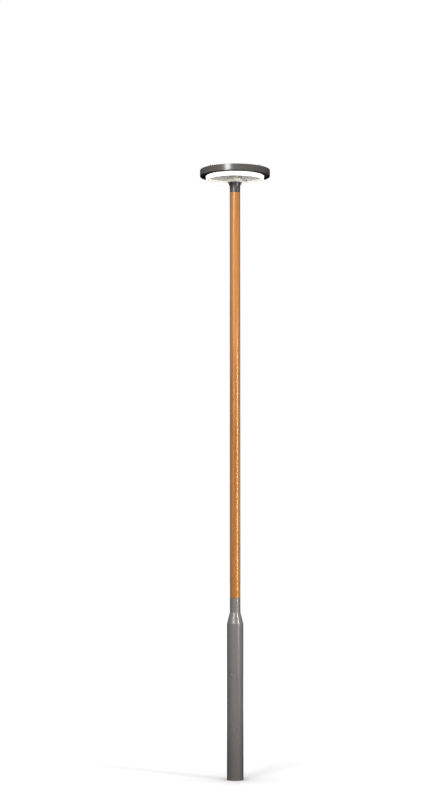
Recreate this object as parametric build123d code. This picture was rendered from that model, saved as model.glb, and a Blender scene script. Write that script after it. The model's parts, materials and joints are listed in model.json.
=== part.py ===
from build123d import *
import os
from math import atan2, hypot, pi, sqrt, tan

# Post-top LED street lamp: steel foot tube, timber mast, cast neck and a flat round lantern.
# Millimetres, +Z up, origin at the centre of the anchor pattern on the ground, front towards -Y.

os.makedirs("parts", exist_ok=True)

# ---------------------------------------------------------------- driving sizes
# heights that stack from the ground up
plate_thick = 12.0
tube_top = 1300.0
cone_height = 97.0
collar_height = 118.0
timber_height = 3455.0
neck_height = 86.0
cover_lift = 19.0          # neck flange to the flat bottom of the cover
cover_drop = 36.0          # how far the cover hangs below the rim
rim_height = 55.0
lid_rise = 22.0

# diameters and walls
tube_od = 139.7
tube_wall = 4.0
mast_od = 90.0
collar_wall = 4.0
mast_bore = 50.0
neck_waist_height = 28.0
neck_flare = 5.5           # how far the neck spreads beyond the mast
neck_flange_lip = 8.5      # how far its flange stands out beyond that
neck_flange_thick = 10.0
neck_edge = 1.0            # chamfer on the neck's flange
spigot_od = 60.0
spigot_wall = 4.0
column_od = 85.0
column_wall = 3.0
column_flange = 5.0
screw_land = 5.0           # inside of the column to its flange screws
cover_od = 496.0
cover_wall = 3.0
rim_od = 600.0
rim_wall = 4.0

# anchors and cable entry
anchor_pcd = 88.0
anchor_hole_d = 18.0
anchor_count = 4
cable_entry_d = 50.0

# service door
door_turn = 23.3           # degrees the door faces left of the front
door_bottom = 500.0
door_height = 400.0
door_width = 85.0
door_corner = 22.0
door_gap = 1.0
gasket_inset = 1.0
gasket_width = 6.0
gasket_thick = 1.5
strip_thick = 4.0
strip_width = 12.0
strip_overlap = 5.5
strip_overrun = 8.0        # strips reach this far above and below the door
tongue_width = 40.0
tongue_thick = 3.0
tongue_drop = 22.0
tongue_pad_rise = 15.0     # door bottom to the pad that carries the tongue
tongue_pad_height = 30.0
lock_below_top = 25.0
lock_barrel_d = 20.0
barrel_proud = 1.5
spindle_d = 12.0
spindle_proud = 1.0
spindle_square = 7.0
spindle_thread = 7.0       # length of the threaded end behind the cam
key_r = 4.5                # triangular key recess, corner radius and depth
key_depth = 8.0
cam_reach = 34.0
cam_width = 14.0
cam_thick = 3.0
cam_setback = 19.85        # outside of the tube to the back of the cam
keeper_width = 50.0
keeper_height = 20.0
keeper_rise = 2.0          # door opening to the underside of the keeper
keeper_wall = 5.0
keeper_web = 3.0

# equipment behind the door
rail_width = 40.0
rail_thick = 3.0
rail_length = 330.0
rail_rise = 20.0           # door bottom to the foot of the rail
rail_screw_inset = 9.0
rail_gap = 20.85           # inside of the tube to the face of the rail
standoff_width = 24.0
standoff_height = 18.0
rail_screw_depth = 8.0     # how far the rail screws reach into their standoffs
box_width = 64.0
box_height = 140.0
box_rise = 190.0           # door bottom to the underside of the fuse box
box_depth = 40.0
carrier_drop = 18.0        # top of the fuse box to the carriers
carrier_width = 22.0
carrier_height = 68.0
carrier_depth = 36.0
carrier_proud = 8.0
carrier_pitch = 29.0
fuse_d = 10.0
fuse_length = 38.0
fuse_inset = 12.0          # back of the carrier to the fuse link
grip_thick = 8.0
grip_height = 28.0
supply_gland_x = 16.0      # supply glands either side of the middle of the box
supply_gland_flats = 24.0
supply_gland_bore = 14.0
mast_gland_flats = 20.0
terminal_count = 5
terminal_rise = 70.0       # door bottom to the terminal block
terminal_width = 50.0
terminal_height = 34.0
terminal_depth = 24.0
terminal_pitch = 9.5
earth_rise = 40.0          # door bottom to the earth stud
earth_length = 22.0
cable_d = 9.0

# mast root
tenon_depth = 455.0        # below the visible timber
root_plate_thick = 8.0
centring_ring_thick = 12.0
centring_drop = 150.0      # top of the foot tube to the underside of the centring ring
collar_screw_drop = 35.0
collar_screw_angles = (50, 90, 130)
neck_screw_angles = (0, 90, 180)
spigot_depth = 180.0
dowel_places = ((60.0, 20.0), (120.0, -20.0))   # depth below the timber's top, offset from its axis
cable_start = 11.5         # how far the mast cable's end reaches into the fuse box
cable_rise = 65.0          # its straight run above that
cable_shift = 110.0        # height over which it moves to the mast's axis
cable_head = 32.0          # tray to the height at which it turns towards the driver

# lantern
lip_width = 20.0
lip_drop = 8.0
shelf_thick = 4.0
cover_flange = 16.0
seal_thick = 1.5
ring_thick = 2.5
tray_height = 16.0         # underside of the rim to the underside of the tray
tray_thick = 3.0
tray_screw_count = 8
ring_screw_count = 12
led_count = 24
led_inset = 33.0           # side of the cover to the circle of LEDs
led_board_width = 40.0
led_board_thick = 1.6
led_size = 5.0
led_height = 1.2
lens_width = 28.0
lens_height = 6.0
lens_wall = 5.0
lens_roof = 3.0
reflector_thick = 2.0
driver_x = 60.0            # mast axis to the near end of the driver
driver_length = 150.0
driver_width = 68.0
driver_height = 38.0
driver_screw_x = 8.0       # ends and sides of the driver to its screws
driver_screw_y = 7.0
driver_foot = 4.0
surge_x = -150.0
surge_length = 60.0
surge_width = 44.0
surge_height = 24.0
lantern_block_y = 70.0     # mast axis to the lantern's terminal block
lantern_block_pitch = 11.0
grommet_r = 15.0
grommet_flange_r = 19.0
lid_thick = 3.0
lid_side_gap = 1.5         # lid edge to the inside of the rim
hinge_setback = 6.0        # rim to hinge axis
hinge_pin_d = 6.0
hinge_screw_x = 35.0
knuckle_r = 6.5
leaf_half = 24.5
ear_low = 25.0
ear_high = 45.0
latch_angles = (220.0, 320.0)
latch_inset = 14.0         # edge of the rim's lip to the latch centres
latch_stem_d = 10.0
latch_knob_r = 12.0
latch_rise = 8.0           # top of the rim to the underside of the latch knob
latch_blade = 3.0
latch_blade_reach = 24.0
bush_stem_d = 12.0
bush_flange_r = 9.0
rim_boss_r = 6.0
rim_boss_inset = 20.0      # inside of the rim to the centres of its bosses
vent_x = 100.0
vent_d = 17.0

# clearances
slip = 0.05                # radial, pin or screw in its hole
glue_gap = 0.1
fit_gap = 0.2
body_gap = 0.3             # between pieces that move apart
pocket_gap = 0.5

# screws
m4 = 4.0
m5 = 5.0
m8 = 8.0
m5_nut_flats = 8.0
m5_nut_height = 4.0
m8_nut_flats = 13.0
m8_nut_height = 6.0
set_screw_socket = 4.0

# ---------------------------------------------------------------- worked-out places
tube_r = tube_od / 2
tube_ri = tube_r - tube_wall
mast_r = mast_od / 2
cone_top = tube_top + cone_height
collar_top = cone_top + collar_height
timber_top = collar_top + timber_height
neck_top = timber_top + neck_height
cover_bottom = neck_top + cover_lift
rim_bottom = cover_bottom + cover_drop
rim_top = rim_bottom + rim_height
shelf_top = rim_bottom + shelf_thick
rim_r = rim_od / 2
rim_ri = rim_r - rim_wall
cover_r = cover_od / 2
tray_bottom = rim_bottom + tray_height
tray_top = tray_bottom + tray_thick
lip_top = rim_top - lip_drop
lip_ri = rim_ri - lip_width
door_top = door_bottom + door_height
lock_z = door_top - lock_below_top
hinge_y = rim_r + hinge_setback
hinge_z = rim_top + hinge_setback
column_r = column_od / 2
flare_r = mast_r + neck_flare
flange_r = flare_r + neck_flange_lip
cam_depth = tube_r - cam_setback
rail_setback = tube_ri - rail_gap
led_r = cover_r - led_inset
latch_r = lip_ri - latch_inset
boss_r = rim_ri - rim_boss_inset
column_screw_r = column_r - column_wall - screw_land
neck_bore_r = mast_bore / 2 - 5
tenon_r = mast_r - collar_wall - fit_gap
tenon_bottom = collar_top - tenon_depth
box_bottom = door_bottom + box_rise
box_front = rail_setback - box_depth


# ---------------------------------------------------------------- helpers
def rod(radius, z_low, z_high, x=0.0, y=0.0):
    """Upright cylinder between two heights."""
    height = z_high - z_low
    return Pos(x, y, z_low) * Cylinder(radius, height, align=(Align.CENTER, Align.CENTER, Align.MIN))


def ring(outer, inner, z_low, z_high):
    """Upright tube between two heights."""
    return rod(outer, z_low, z_high) - rod(inner, z_low - 1, z_high + 1)


def block(x_low, x_high, y_low, y_high, z_low, z_high):
    """Box from its two corners."""
    size = Box(x_high - x_low, y_high - y_low, z_high - z_low)
    return Pos((x_low + x_high) / 2, (y_low + y_high) / 2, (z_low + z_high) / 2) * size


def turned(*points):
    """Solid of revolution about Z from a closed outline of (radius, height) points."""
    return revolve(Plane.XZ * make_face(Polyline(*points, close=True)), Axis.Z)


def turned_shell(line, wall):
    """Sheet of even thickness turned about Z from its middle line."""
    return revolve(Plane.XZ * trace(line, wall), Axis.Z)


def lying(radius, y_low, y_high, x=0.0, z=0.0):
    """Cylinder along Y between two depths."""
    length = y_high - y_low
    return Pos(x, (y_low + y_high) / 2, z) * Rot(90, 0, 0) * Cylinder(radius, length)


def around(shape, count, start=0.0):
    """Copies of a shape, evenly spaced about Z."""
    return [Rot(0, 0, start + 360 * i / count) * shape for i in range(count)]


def hexagon(across_flats, z_low, z_high):
    """Upright hexagonal prism."""
    outline = RegularPolygon(across_flats / 2, 6, major_radius=False)
    return Pos(0, 0, z_low) * extrude(outline, z_high - z_low)


def pan_screw(diameter, z_tip, z_seat):
    """Upright pan-head screw with a hexagon socket, head up."""
    head_r = diameter * 0.95
    head_high = diameter * 0.45
    head = rod(head_r, z_seat, z_seat + head_high)
    socket = hexagon(diameter * 0.5, z_seat + head_high * 0.3, z_seat + head_high + 1)
    return rod(diameter / 2, z_tip, z_seat) + head - socket


def joined(shapes):
    """Group of separate solids as one compound."""
    return Compound([solid for shape in shapes for solid in shape.solids()])


def faces_door(shape):
    """Turns a piece drawn facing -Y round to the service door."""
    return Rot(0, 0, -door_turn) * shape


def save(shape, name):
    export_step(shape, "parts/" + name + ".step")


# ---------------------------------------------------------------- foot and base tube
def door_prism(inset, y_low=-tube_r - 10, y_high=-tube_r * 0.4):
    """Rounded-rectangle prism through the door side; a negative inset makes it larger."""
    outline = RectangleRounded(door_width - 2 * inset, door_height - 2 * inset, door_corner - inset)
    prism = extrude(Plane.XZ * outline, (y_high - y_low) / 2, both=True)
    return Pos(0, (y_low + y_high) / 2, (door_bottom + door_top) / 2) * prism


def make_foot():
    holes = around(rod(anchor_hole_d / 2, -1, plate_thick + 1, x=anchor_pcd / 2), anchor_count, 45)
    plate = rod(tube_r, 0, plate_thick) - rod(cable_entry_d / 2, -1, plate_thick + 1)
    for hole in holes:
        plate -= hole
    save(plate, "base_plate")
    tube = ring(tube_r, tube_ri, plate_thick, tube_top)
    save(faces_door(tube - door_prism(-door_gap)), "base_tube")
    low = tube_top - centring_drop
    save(ring(tube_ri, tenon_r + fit_gap, low, low + centring_ring_thick), "mast_centring_ring")
    save(ring(tube_ri, cable_entry_d / 2, tenon_bottom - root_plate_thick, tenon_bottom),
         "mast_seat_plate")


def shell(outer, inner):
    """Curved plate blank over the height of the door."""
    return ring(outer, inner, door_bottom - 60, door_top + 60)


def make_door_frame():
    half = door_width / 2 + door_gap
    reach = (half - strip_overlap, half - strip_overlap + strip_width)
    seat_r = tube_ri - gasket_thick - body_gap
    strips = []
    for side in (-1, 1):
        x_low, x_high = sorted((side * reach[0], side * reach[1]))
        stock = block(x_low, x_high, -tube_r, -tube_r * 0.3, door_bottom - strip_overrun,
                      door_top + strip_overrun)
        strip = shell(tube_ri, seat_r - strip_thick) & stock
        opening = block(-half - 1, half + 1, -tube_r, 0, door_bottom - strip_overrun - 1,
                        door_top + strip_overrun + 1)
        strips.append(strip - (shell(tube_ri + 1, seat_r) & opening))
    save(faces_door(joined(strips)), "door_rest_strips")

    low = door_top + door_gap + keeper_rise
    high = low + keeper_height
    face = -cam_depth - cam_thick - body_gap
    keeper = block(-keeper_width / 2, keeper_width / 2, -tube_r, face, low, high)
    keeper -= block(-keeper_width / 2 + keeper_wall, keeper_width / 2 - keeper_wall, -tube_r,
                    face - keeper_web, low - 1, high + 1)
    save(faces_door(keeper & rod(tube_ri, low - 1, high + 1)), "lock_keeper")


def make_door():
    bore = lying(lock_barrel_d / 2, -tube_r - 5, -tube_r * 0.4, z=lock_z)
    panel = (shell(tube_r, tube_ri) & door_prism(0)) - bore
    save(faces_door(panel), "service_door")
    gasket = shell(tube_ri, tube_ri - gasket_thick) & door_prism(gasket_inset)
    save(faces_door(gasket - door_prism(gasket_inset + gasket_width)), "door_gasket")

    front = body_gap - sqrt((tube_ri - gasket_thick) ** 2 - (tongue_width / 2) ** 2)
    back = front + tongue_thick
    foot = door_bottom + tongue_pad_rise
    head = foot + tongue_pad_height
    plate = block(-tongue_width / 2, tongue_width / 2, front, back, door_bottom - tongue_drop, foot)
    pad = block(-tongue_width / 2, tongue_width / 2, -tube_r, back, foot, head)
    save(faces_door(plate + (pad & rod(tube_ri, foot - 1, head + 1))), "door_tongue")


def make_lock():
    back = -cam_depth
    barrel = lying(lock_barrel_d / 2 - glue_gap, -tube_r - barrel_proud, back - cam_thick - 3, z=lock_z)
    barrel -= lying(spindle_d / 2, -tube_r - 3, 0, z=lock_z)
    save(faces_door(barrel), "door_lock_barrel")

    half = spindle_square / 2
    spindle = lying(spindle_d / 2 - slip, -tube_r - spindle_proud, back - cam_thick, z=lock_z)
    spindle += block(-half, half, back - cam_thick, back, lock_z - half, lock_z + half)
    spindle += lying(m5 / 2, back, back + spindle_thread, z=lock_z)
    key = extrude(RegularPolygon(key_r, 3), key_depth)
    spindle -= Pos(0, -tube_r - 2, lock_z) * Rot(-90, 0, 0) * key
    save(faces_door(spindle), "door_lock_spindle")

    cam = block(-cam_width / 2, cam_reach, back - cam_thick, back, lock_z - cam_width / 2,
                lock_z + cam_width / 2)
    cam = fillet(cam.edges().filter_by(Axis.Y), cam_width * 0.3)
    hole = half + slip
    cam -= block(-hole, hole, back - cam_thick - 1, back + 1, lock_z - hole, lock_z + hole)
    save(faces_door(cam), "door_lock_cam")
    nut = hexagon(m5_nut_flats, 0, m5_nut_height) - rod(m5 / 2 + slip, -1, m5_nut_height + 1)
    save(faces_door(Pos(0, back, lock_z) * Rot(-90, 0, 0) * nut), "door_lock_nut")


# ---------------------------------------------------------------- equipment in the base
def make_rail():
    low = door_bottom + rail_rise
    high = low + rail_length
    screw_heights = (low + rail_screw_inset, high - rail_screw_inset)
    rail_back = rail_setback + rail_thick
    rail = block(-rail_width / 2, rail_width / 2, rail_setback, rail_back, low, high)
    for z in screw_heights:
        rail -= lying(m5 / 2 + fit_gap, rail_setback - 1, rail_back + 1, z=z)
    save(faces_door(rail), "equipment_rail")

    pads = []
    screws = []
    for z in screw_heights:
        half_w = standoff_width / 2
        half_h = standoff_height / 2
        pad = block(-half_w, half_w, rail_back, tube_r, z - half_h, z + half_h)
        pad &= rod(tube_ri, z - half_h - 1, z + half_h + 1)
        pads.append(pad - lying(m5 / 2 + slip, rail_back - 1, rail_back + rail_screw_depth + 1, z=z))
        fixing = pan_screw(m5, -rail_back - rail_screw_depth, -rail_setback)
        screw = Pos(0, 0, z) * Rot(90, 0, 0) * fixing
        screws.append(screw)
    save(faces_door(joined(pads)), "rail_standoffs")
    save(faces_door(joined(screws)), "rail_screws")


def carrier_centres():
    return (-carrier_pitch / 2, carrier_pitch / 2)


def make_fuse_box():
    high = box_bottom + box_height
    mid = high - carrier_height / 2 - carrier_drop
    mid_y = box_front + box_depth / 2
    box = block(-box_width / 2, box_width / 2, box_front, rail_setback, box_bottom, high)
    box = fillet(box.edges().filter_by(Axis.Y), 4)
    half_w = carrier_width / 2 + pocket_gap
    half_h = carrier_height / 2 + pocket_gap
    inner = box_front + carrier_depth - carrier_proud + pocket_gap
    for x in carrier_centres():
        box -= block(x - half_w, x + half_w, box_front - 1, inner, mid - half_h, mid + half_h)
    box -= rod(cable_d / 2 + fit_gap, high - cable_start - pocket_gap, high + 1, y=mid_y)
    for x in (-supply_gland_x, supply_gland_x):
        box -= rod(supply_gland_bore / 2 + 1, box_bottom - 1, box_bottom + 16, x=x, y=mid_y)
    save(faces_door(box), "fuse_box_base")

    glands = []
    for x in (-supply_gland_x, supply_gland_x):
        nut_low = box_bottom - 8
        gland = Pos(x, mid_y, 0) * hexagon(supply_gland_flats, nut_low, box_bottom)
        gland += rod(supply_gland_bore / 2 + 3, nut_low - 10, nut_low, x=x, y=mid_y)
        glands.append(gland - rod(supply_gland_bore / 2, nut_low - 12, box_bottom + 1, x=x, y=mid_y))
    nut_top = high + 7
    gland = Pos(0, mid_y, 0) * hexagon(mast_gland_flats, high, nut_top)
    gland += rod(mast_gland_flats * 0.4, nut_top, nut_top + 9, y=mid_y)
    glands.append(gland - rod(cable_d / 2 + fit_gap, high - 1, nut_top + 10, y=mid_y))
    save(faces_door(joined(glands)), "cable_glands")

    for x, side in zip(carrier_centres(), ("line", "neutral")):
        make_carrier(x, mid, side)


def make_carrier(x, mid, side):
    """Pull-out carrier with a grip bar on its face and a fuse link lying in it."""
    front = box_front - carrier_proud
    back = front + carrier_depth
    body = block(x - carrier_width / 2, x + carrier_width / 2, front, back,
                 mid - carrier_height / 2, mid + carrier_height / 2)
    body = fillet(body.edges().filter_by(Axis.Y), 2)
    for dx in (-1, 1):
        low, high = sorted((x + dx * grip_thick / 2, x + dx * (carrier_width / 2 + 1)))
        body -= block(low, high, front - 1, front + carrier_proud * 0.75, mid - grip_height / 2,
                      mid + grip_height / 2)
    link_y = back - fuse_inset
    cell = fuse_d / 2 + fit_gap
    body -= rod(cell, mid - fuse_length / 2 - fit_gap, mid + fuse_length / 2 + fit_gap, x=x, y=link_y)
    save(faces_door(body), "fuse_carrier_" + side)
    link = rod(fuse_d / 2, mid - fuse_length / 2, mid + fuse_length / 2, x=x, y=link_y)
    save(faces_door(link), "fuse_link_" + side)


def make_terminals():
    low = door_bottom + terminal_rise
    front = rail_setback - terminal_depth
    body = block(-terminal_width / 2, terminal_width / 2, front, rail_setback, low, low + terminal_height)
    for i in range(terminal_count):
        x = (i - (terminal_count - 1) / 2) * terminal_pitch
        body -= lying(3.2, front - 1, front + 4, x=x, z=low + terminal_height / 2)
        body -= rod(3.0, low - 1, low + 10, x=x, y=rail_setback - 8)
    save(faces_door(body), "base_terminal_block")

    z = door_bottom + earth_rise
    x = rail_width * 0.3
    stud = lying(m8 / 2, rail_setback - earth_length, rail_setback, x=x, z=z)
    save(faces_door(stud), "earth_stud")
    nuts = []
    for start in (8, 17):
        end = start + m8_nut_height
        nut = hexagon(m8_nut_flats, start, end) - rod(m8 / 2 + slip, start - 1, end + 1)
        nuts.append(Pos(x, rail_setback, z) * Rot(90, 0, 0) * nut)
    save(faces_door(joined(nuts)), "earth_nuts")


# ---------------------------------------------------------------- reducer and mast
def make_mast():
    cone = turned((tube_r, tube_top), (mast_r, cone_top), (mast_r - tube_wall, cone_top),
                  (tube_ri, tube_top))
    save(cone, "cone_reducer")

    collar = ring(mast_r, mast_r - collar_wall, cone_top, collar_top)
    screw_z = collar_top - collar_screw_drop
    screws = []
    mast = rod(mast_r, collar_top, timber_top) + rod(tenon_r, tenon_bottom, collar_top)
    mast -= rod(mast_bore / 2, tenon_bottom - 1, timber_top + 1)
    for angle in collar_screw_angles:
        turn = Rot(0, 0, angle - 90)
        collar -= turn * lying(m8 / 2 + slip, tenon_r - 6, mast_r + 1, z=screw_z)
        mast -= turn * lying(m8 / 2 + slip, tenon_r - 10, mast_r + 1, z=screw_z)
        body = lying(m8 / 2, tenon_r - 9.5, mast_r - 0.5, z=screw_z)
        body -= Pos(0, mast_r - 4, screw_z) * Rot(-90, 0, 0) * hexagon(set_screw_socket, 0, 10)
        screws.append(turn * body)
    save(collar, "mast_collar")

    spigot_top = neck_top - neck_flange_thick - 6
    spigot_low = timber_top - spigot_depth
    mast -= rod(spigot_od / 2 + glue_gap, spigot_low, timber_top + 1)
    spigot = ring(spigot_od / 2, spigot_od / 2 - spigot_wall, spigot_low, spigot_top)
    dowels = []
    for depth, y in dowel_places:
        z = timber_top - depth
        hole = Pos(0, y, z) * Rot(0, 90, 0) * Cylinder(m8 / 2 + slip, mast_od + 10)
        mast -= hole
        spigot -= hole
        dowel = Pos(0, y, z) * Rot(0, 90, 0) * Cylinder(m8 / 2, mast_od)
        dowels.append(dowel & rod(mast_r - 0.2, z - 10, z + 10))
    save(mast, "timber_mast")
    save(spigot, "top_spigot")
    save(joined(dowels), "spigot_dowels")
    return spigot_top, screws


def make_mast_cable():
    start = faces_door(Pos(0, box_front + box_depth / 2, 0)).position
    gland_low = box_bottom + box_height - cable_start
    run_up = gland_low + cable_rise
    axis_z = run_up + cable_shift
    turn_z = tray_top + cable_head
    points = [(start.X, start.Y, gland_low), (start.X, start.Y, run_up), (0, 0, axis_z),
              (0, 0, turn_z), (driver_x, 0, turn_z)]
    lean = atan2(hypot(start.X, start.Y), axis_z - run_up)
    jog = hypot(hypot(start.X, start.Y), axis_z - run_up)
    radii = [0.45 * (run_up - gland_low) / tan(lean / 2), 0.45 * jog / tan(lean / 2),
             0.45 * driver_x / tan(pi / 4)]
    print("mast cable radii", [round(r, 1) for r in radii])
    path = FilletPolyline(*points, radius=radii)
    cable = sweep(Plane(path @ 0, z_dir=path % 0) * Circle(cable_d / 2), path=path)
    print("mast cable volume over section times length",
          round(cable.volume / (pi * (cable_d / 2) ** 2 * path.length), 4))
    save(cable, "mast_cable")


# ---------------------------------------------------------------- neck and column
def make_neck(spigot_top, collar_screws):
    flange_low = neck_top - neck_flange_thick
    waist = timber_top + neck_waist_height
    bulge = neck_flare * 0.3
    edge = Polyline((mast_r, waist), (mast_r, timber_top), (spigot_od / 2 + glue_gap, timber_top),
                    (spigot_od / 2 + glue_gap, spigot_top), (neck_bore_r, spigot_top),
                    (neck_bore_r, neck_top), (flange_r - neck_edge, neck_top),
                    (flange_r, neck_top - neck_edge), (flange_r, flange_low + neck_edge),
                    (flange_r - neck_edge, flange_low), (flare_r, flange_low))
    flare = ThreePointArc((flare_r, flange_low), (mast_r + bulge, (waist + flange_low) / 2),
                          (mast_r, waist))
    neck = revolve(Plane.XZ * make_face([*edge.edges(), flare]), Axis.Z)
    screw_z = timber_top + neck_waist_height / 2
    screws = []
    for angle in neck_screw_angles:
        turn = Rot(0, 0, angle - 90)
        neck -= turn * lying(m8 / 2 + slip, spigot_od / 2 - 5, mast_r + 5, z=screw_z)
        body = lying(m8 / 2, spigot_od / 2 + slip, mast_r - 1, z=screw_z)
        body -= Pos(0, mast_r - 5, screw_z) * Rot(-90, 0, 0) * hexagon(set_screw_socket, 0, 10)
        screws.append(turn * body)
    for hole in around(rod(m5 / 2 + slip, neck_top - 9, neck_top + 1, x=column_screw_r), 4, 45):
        neck -= hole
    save(neck, "neck_casting")
    save(joined(collar_screws + screws), "mast_set_screws")
    gasket = ring(flange_r - 0.5, column_r + 7, neck_top, neck_top + seal_thick)
    save(gasket, "neck_gasket")


def make_column():
    low_face = neck_top + column_flange
    top_face = tray_bottom - column_flange
    column = ring(column_r, neck_bore_r, neck_top, tray_bottom)
    column -= ring(column_r - column_wall, neck_bore_r - 1, low_face, top_face)
    low_hole = rod(m5 / 2 + fit_gap, neck_top - 1, low_face + 1, x=column_screw_r)
    top_hole = rod(m5 / 2 + slip, top_face - 1, tray_bottom + 1, x=column_screw_r)
    for hole in around(low_hole, 4, 45) + around(top_hole, 4):
        column -= hole
    save(column, "central_column")
    place = Pos(column_screw_r, 0, 0)
    low_screw = place * pan_screw(m5, neck_top - 8, low_face)
    top_screw = place * pan_screw(m5, top_face, tray_top)
    return around(low_screw, 4, 45) + around(top_screw, 4)


# ---------------------------------------------------------------- cover and rim
def make_cover():
    half = cover_wall / 2
    seat = shelf_top + seal_thick
    foot_r = flange_r - 1
    line = FilletPolyline((cover_r + cover_flange, seat + half), (cover_r - half, seat + half),
                          (cover_r - half, cover_bottom + half), (foot_r + 18, cover_bottom + half),
                          (foot_r - half, neck_top + seal_thick + half),
                          (column_r + 7, neck_top + seal_thick + half),
                          radius=[2.5, 14.0, 12.0, 3.0])
    cover = turned_shell(line, cover_wall)
    cover -= rod(vent_d * 0.25 + fit_gap, cover_bottom - 5, cover_bottom + 10, x=vent_x)
    screw_r = cover_r + cover_flange * 0.6
    for hole in around(rod(m4 / 2 + fit_gap, seat - 1, seat + 5, x=screw_r), ring_screw_count):
        cover -= hole
    save(cover, "light_cover")

    seal = ring(cover_r + cover_flange, cover_r + 4, shelf_top, seat)
    clamp_low = seat + cover_wall
    clamp = ring(cover_r + cover_flange, cover_r + 3, clamp_low, clamp_low + ring_thick)
    screw = pan_screw(m4, rim_bottom + 1.2, clamp_low + ring_thick)
    bore = rod(m4 / 2 + fit_gap, shelf_top - 1, clamp_low + 9, x=screw_r)
    for hole in around(bore, ring_screw_count):
        seal -= hole
        clamp -= hole
    save(seal, "cover_gasket")
    save(clamp, "cover_clamp_ring")
    screws = around(Pos(screw_r, 0, 0) * screw, ring_screw_count)

    vent = rod(vent_d / 2, cover_bottom - 4, cover_bottom)
    vent = fillet(vent.faces().sort_by(Axis.Z)[0].edges(), 1.5)
    vent += rod(vent_d * 0.25, cover_bottom, cover_bottom + cover_wall + 6)
    vent -= rod(1.2, cover_bottom - 5, cover_bottom + cover_wall + 7)
    save(Pos(vent_x, 0, 0) * vent, "pressure_vent")
    return screw_r, screws


def make_rim(ring_screw_r, column_screws):
    rim = ring(rim_r, rim_ri, rim_bottom, rim_top)
    outer_edges = rim.edges().filter_by(GeomType.CIRCLE).sort_by(SortBy.RADIUS)[-2:]
    rim = fillet(outer_edges, rim_wall * 0.45)
    rim += ring(rim_ri + 1, cover_r + 1, rim_bottom, shelf_top)
    rim += ring(rim_ri + 1, lip_ri, lip_top - 4, lip_top)
    for boss in around(rod(rim_boss_r, shelf_top - 1, tray_bottom, x=boss_r), tray_screw_count, 22.5):
        rim += boss
    boss_hole = rod(m5 / 2 + slip, shelf_top, tray_bottom + 1, x=boss_r)
    shelf_hole = rod(m4 / 2 + slip, rim_bottom + 1, shelf_top + 1, x=ring_screw_r)
    for hole in around(boss_hole, tray_screw_count, 22.5) + around(shelf_hole, ring_screw_count):
        rim -= hole
    for x in (-hinge_screw_x, hinge_screw_x):
        rim -= lying(m5 / 2 + slip, rim_ri - 10, rim_r + 5, x=x, z=rim_bottom + rim_height / 2)
    save(rim, "rim_ring")
    seal = ring(rim_ri - 1, lip_ri + 4, lip_top, lip_top + seal_thick)
    save(seal, "lid_gasket")

    tray = ring(boss_r + 5, grommet_r, tray_bottom, tray_top)
    rim_hole = rod(m5 / 2 + fit_gap, tray_bottom - 1, tray_top + 1, x=boss_r)
    column_hole = rod(m5 / 2 + fit_gap, tray_bottom - 1, tray_top + 1, x=column_screw_r)
    for hole in around(rim_hole, tray_screw_count, 22.5) + around(column_hole, 4):
        tray -= hole
    save(tray, "gear_tray")
    screw = Pos(boss_r, 0, 0) * pan_screw(m5, shelf_top + 1, tray_top)
    save(joined(around(screw, tray_screw_count, 22.5) + column_screws), "lantern_m5_screws")


def make_light_engine():
    board_low = tray_bottom - led_board_thick
    board_half = led_board_width / 2
    save(ring(led_r + board_half, led_r - board_half, board_low, tray_bottom), "led_board")
    chip = Pos(led_r, 0, board_low - led_height / 2) * Box(led_size, led_size, led_height)
    save(joined(around(chip, led_count)), "leds")
    outer = led_r + lens_width / 2
    inner = led_r - lens_width / 2
    lens_low = board_low - lens_height
    lens = ring(outer, inner, lens_low, board_low)
    lens -= ring(outer - lens_wall, inner + lens_wall, lens_low + lens_roof, board_low + 1)
    save(lens, "led_lens_ring")
    plate = ring(led_r - board_half - 1, column_r + 1, tray_bottom - reflector_thick, tray_bottom)
    save(plate, "reflector_plate")


# ---------------------------------------------------------------- gear in the lantern
def make_gear(cover_screws):
    half = driver_width / 2
    driver = block(driver_x, driver_x + driver_length, -half, half, tray_top, tray_top + driver_height)
    driver = fillet(driver.edges().filter_by(Axis.Z), 4)
    seat = tray_top + driver_foot
    screws = []
    for x in (driver_x + driver_screw_x, driver_x + driver_length - driver_screw_x):
        for y in (driver_screw_y - half, half - driver_screw_y):
            driver -= rod(m4 / 2 + fit_gap, tray_top - 1, tray_top + driver_height + 1, x=x, y=y)
            driver -= rod(m4 + 1, seat, tray_top + driver_height + 1, x=x, y=y)
            screws.append(Pos(x, y, 0) * pan_screw(m4, tray_top + fit_gap, seat))
    save(driver, "led_driver")
    save(joined(cover_screws + screws), "lantern_m4_screws")
    surge = block(surge_x, surge_x + surge_length, -surge_width / 2, surge_width / 2, tray_top,
                  tray_top + surge_height)
    save(fillet(surge.edges().filter_by(Axis.Z), 3), "surge_protector")
    terminal = block(-30, 30, lantern_block_y, lantern_block_y + 22, tray_top, tray_top + 18)
    for i in range(terminal_count):
        x = (i - (terminal_count - 1) / 2) * lantern_block_pitch
        terminal -= rod(3, tray_top + 10, tray_top + 19, x=x, y=lantern_block_y + 11)
        terminal -= lying(2.5, lantern_block_y - 1, lantern_block_y + 8, x=x, z=tray_top + 6)
    save(terminal, "lantern_terminal_block")
    bore_r = cable_d / 2 + fit_gap
    grommet = ring(grommet_r, bore_r, tray_bottom, tray_top)
    grommet += ring(grommet_flange_r, bore_r, tray_top, tray_top + 4)
    save(grommet, "cable_grommet")


# ---------------------------------------------------------------- canopy lid
def dome_arc(edge_r, drop):
    """Arc of the lid's dome from its crown out to a radius, lowered by a depth."""
    rise = lid_rise + 1
    sphere_r = ((rim_ri - lid_side_gap) ** 2 + rise ** 2) / (2 * rise) - drop
    centre_z = rim_top + lid_rise - sphere_r - drop

    def at(radius):
        return (radius, centre_z + sqrt(sphere_r ** 2 - radius ** 2))

    return ThreePointArc(at(0), at(edge_r / 2), at(edge_r))


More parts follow.
